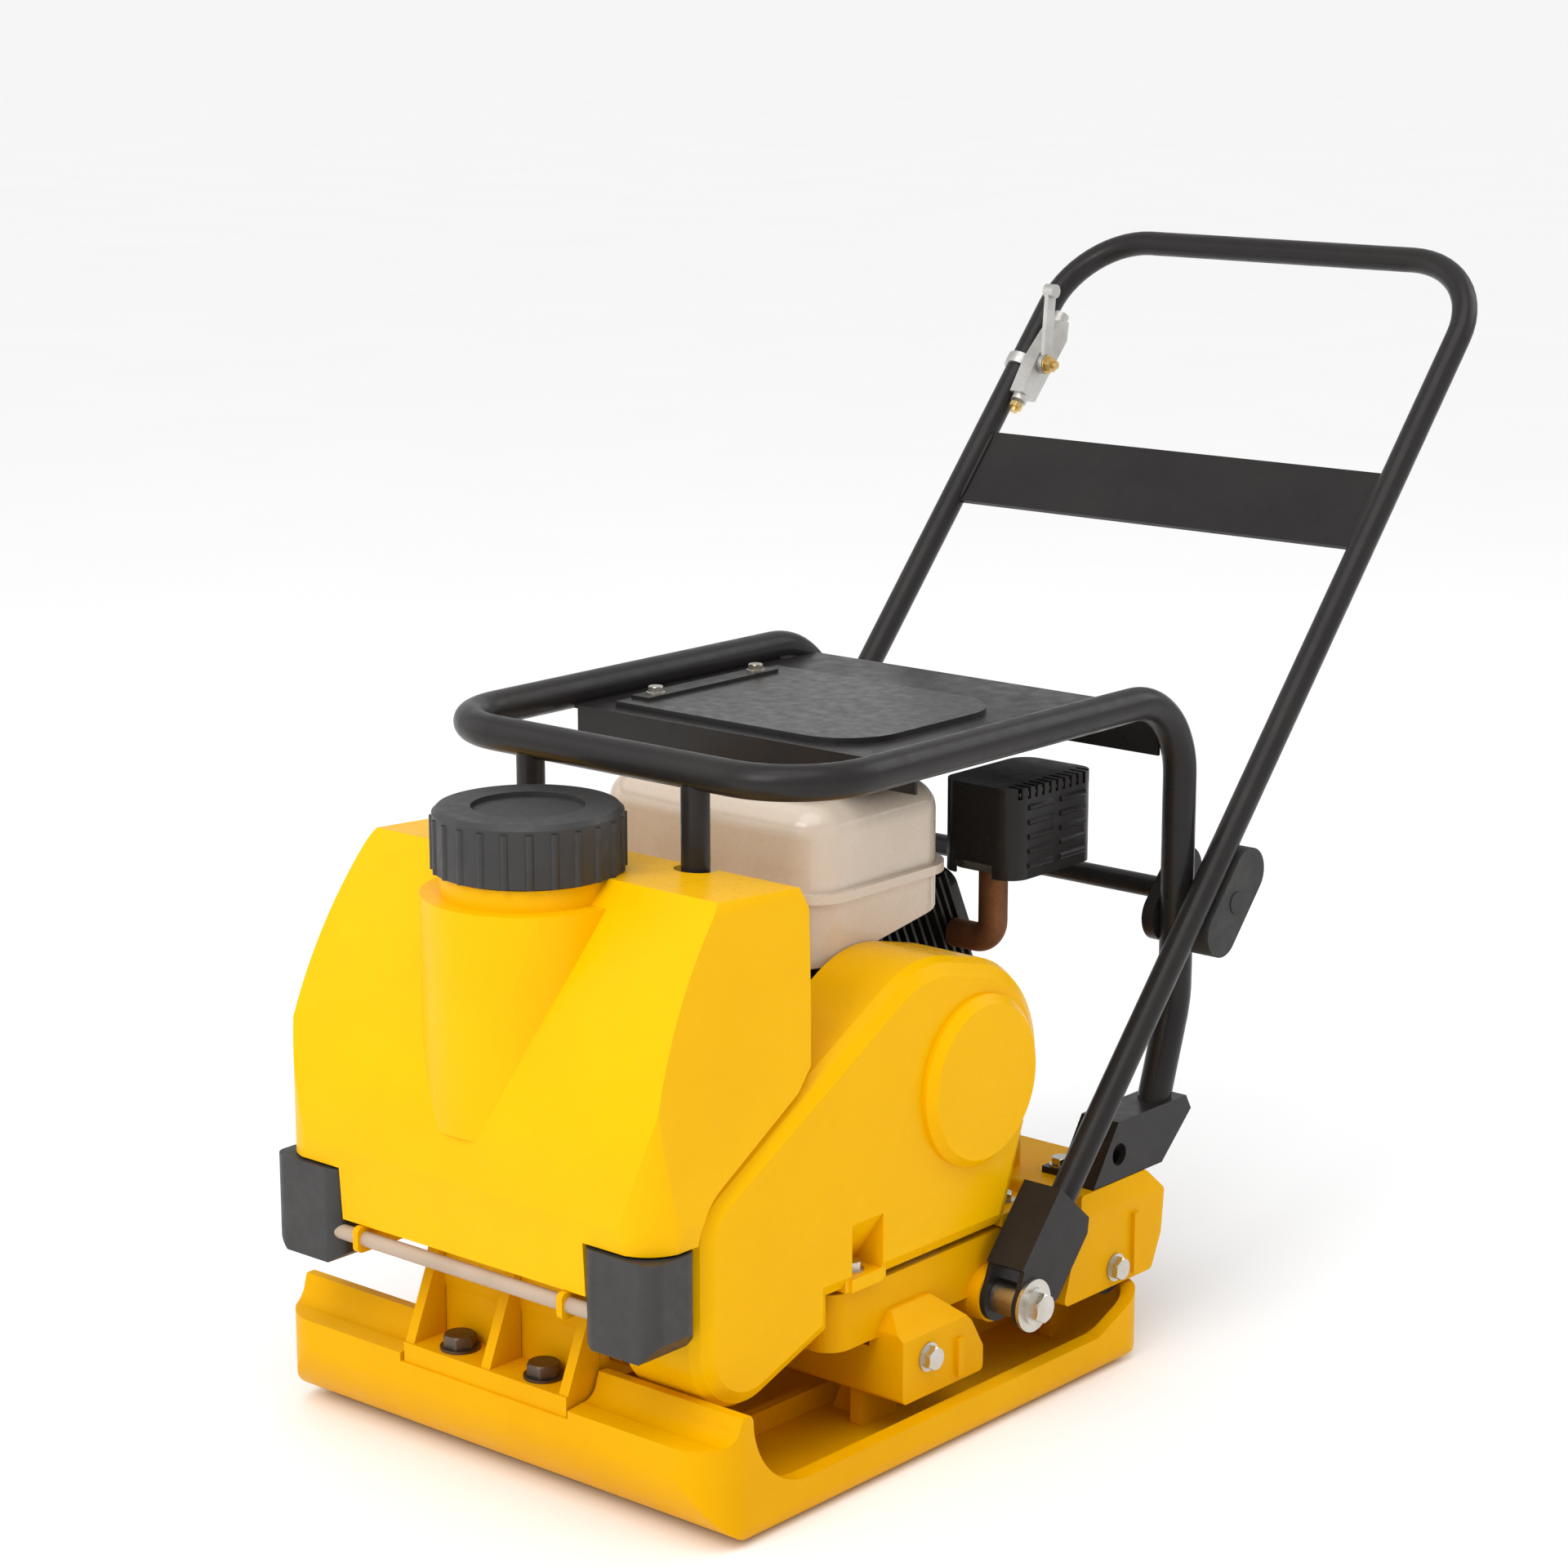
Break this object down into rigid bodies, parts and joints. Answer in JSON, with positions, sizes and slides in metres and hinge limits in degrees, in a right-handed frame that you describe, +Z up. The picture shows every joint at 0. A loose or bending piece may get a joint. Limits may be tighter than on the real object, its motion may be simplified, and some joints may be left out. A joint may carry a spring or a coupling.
{
  "type": "plate compactor",
  "caption": "Vibrating plate compactor with a petrol engine, belt-driven exciter, water tank, lifting frame and folding handle.",
  "frame": {"origin": "on the ground under the middle of the base plate, on the flat sole", "axes": "+X to the machine's right (belt side), +Y to its rear (handle side), +Z up"},
  "size_m": [0.5418, 1.1676, 0.9381],
  "materials": {
    "yellow_paint": "gloss",
    "yellow_cast": "satin",
    "yellow_tank": "satin",
    "black_paint": "satin",
    "black_plastic": "matte",
    "black_rubber": "matte",
    "zinc": "satin",
    "dark_steel": "satin",
    "steel": "satin",
    "iron": "matte",
    "engine_alloy": "satin",
    "dark_alloy": "satin",
    "brass": "satin",
    "pipe_plastic": "matte",
    "cream_paint": "gloss",
    "chrome": "polished",
    "red_paint": "gloss",
    "red_plastic": "gloss",
    "rusty_steel": "matte"
  },
  "bodies": {
    "machine": {"base_plate": "yellow_cast", "exciter_housing": "yellow_cast", "exciter_covers": "yellow_cast", "exciter_bearings": "steel", "exciter_bolts": "dark_steel", "engine_bed": "yellow_cast", "shock_mounts": "black_rubber", "shock_mount_bolts": "zinc", "belt_guard": "yellow_paint", "v_belt": "black_rubber", "water_tank": "yellow_tank", "corner_guards": "black_plastic", "spray_pipe": "pipe_plastic", "tank_arms": "yellow_cast", "water_tap": "brass", "water_hose": "black_rubber", "lifting_frame": "black_paint", "frame_struts": "black_paint", "frame_feet": "black_paint", "m10_bolts": "zinc", "m8_bolts": "zinc", "frame_sheets": "black_paint", "flap_clamped_edge": "black_rubber", "flap_strip": "black_paint", "stop_bar": "black_paint", "stop_buffers": "black_rubber", "pivot_bolts": "zinc", "engine_block": "dark_alloy", "cylinder_head": "dark_alloy", "valve_cover": "black_paint", "fan_cover": "red_paint", "recoil_starter": "red_paint", "muffler": "steel", "muffler_guard": "black_paint", "exhaust_elbow": "rusty_steel", "air_cleaner": "black_plastic", "air_cleaner_nut": "zinc", "carburettor": "engine_alloy", "fuel_tank": "cream_paint"},
    "handle": {"handle_tube": "black_paint", "handle_cross_plate": "black_paint", "handle_brackets": "black_paint", "pivot_bushes": "steel", "throttle_bracket": "engine_alloy", "throttle_bolt": "brass"},
    "throttle_arm": {"throttle_lever": "engine_alloy"},
    "crank": {"crankshaft": "steel", "flywheel": "iron", "clutch_shoes": "steel"},
    "drum": {"clutch_drum": "iron"},
    "eccentric": {"eccentric_shaft": "steel", "exciter_pulley": "iron"},
    "tank_cap": {"water_tank_cap": "black_plastic"},
    "petrol_cap": {"fuel_cap": "chrome"},
    "flap": {"rubber_flap": "black_rubber"},
    "grip": {"starter_grip": "black_plastic"},
    "switch": {"engine_switch": "red_plastic"},
    "choke": {"choke_lever": "black_plastic"},
    "fuel_tap": {"fuel_tap_lever": "black_plastic"},
    "tap": {"water_tap_lever": "red_plastic"}
  },
  "joints": [
    {"name": "handle_fold", "type": "hinge", "parent": "machine", "child": "handle", "pos_m": [0, 0.098, 0.099], "axis": [1, 0, 0], "range_deg": [0, 90]},
    {"name": "throttle", "type": "hinge", "parent": "handle", "child": "throttle_arm", "pos_m": [-0.205, 0.71672, 0.80933], "axis": [1, 0, 0], "range_deg": [-35, 20]},
    {"name": "crank_spin", "type": "hinge", "parent": "machine", "child": "crank", "pos_m": [0, 0.068, 0.285], "axis": [1, 0, 0], "continuous": true},
    {"name": "drum_spin", "type": "hinge", "parent": "machine", "child": "drum", "pos_m": [0.163, 0.068, 0.285], "axis": [1, 0, 0], "continuous": true},
    {"name": "eccentric_spin", "type": "hinge", "parent": "machine", "child": "eccentric", "pos_m": [0, -0.213, 0.15], "axis": [1, 0, 0], "continuous": true},
    {"name": "tank_cap_lift", "type": "slide", "parent": "machine", "child": "tank_cap", "axis": [0, 0, 1], "range_m": [0, 0.08]},
    {"name": "fuel_cap_lift", "type": "slide", "parent": "machine", "child": "petrol_cap", "axis": [0, 0, 1], "range_m": [0, 0.014]},
    {"name": "flap_lift", "type": "hinge", "parent": "machine", "child": "flap", "pos_m": [-0.135, 0.142, 0.576], "axis": [0, -1, 0], "range_deg": [0, 100]},
    {"name": "starter_pull", "type": "slide", "parent": "machine", "child": "grip", "axis": [0, 0, 1], "range_m": [0, 0.06], "stiffness_N_per_m": 40},
    {"name": "switch_turn", "type": "hinge", "parent": "machine", "child": "switch", "pos_m": [-0.156, -0.018, 0.33], "axis": [1, 0, 0], "range_deg": [0, 45]},
    {"name": "choke_turn", "type": "hinge", "parent": "machine", "child": "choke", "pos_m": [-0.1, 0.178, 0.386], "axis": [1, 0, 0], "range_deg": [-30, 30]},
    {"name": "fuel_tap_turn", "type": "hinge", "parent": "machine", "child": "fuel_tap", "pos_m": [-0.1, 0.166, 0.362], "axis": [1, 0, 0], "range_deg": [-60, 0]},
    {"name": "tap_turn", "type": "hinge", "parent": "machine", "child": "tap", "pos_m": [-0.178, -0.092, 0.403], "axis": [0, 0, 1], "range_deg": [0, 90]}
  ],
  "couplings": [
    {"joint": "eccentric_spin", "follows": "drum_spin", "ratio": 1.3333}
  ]
}
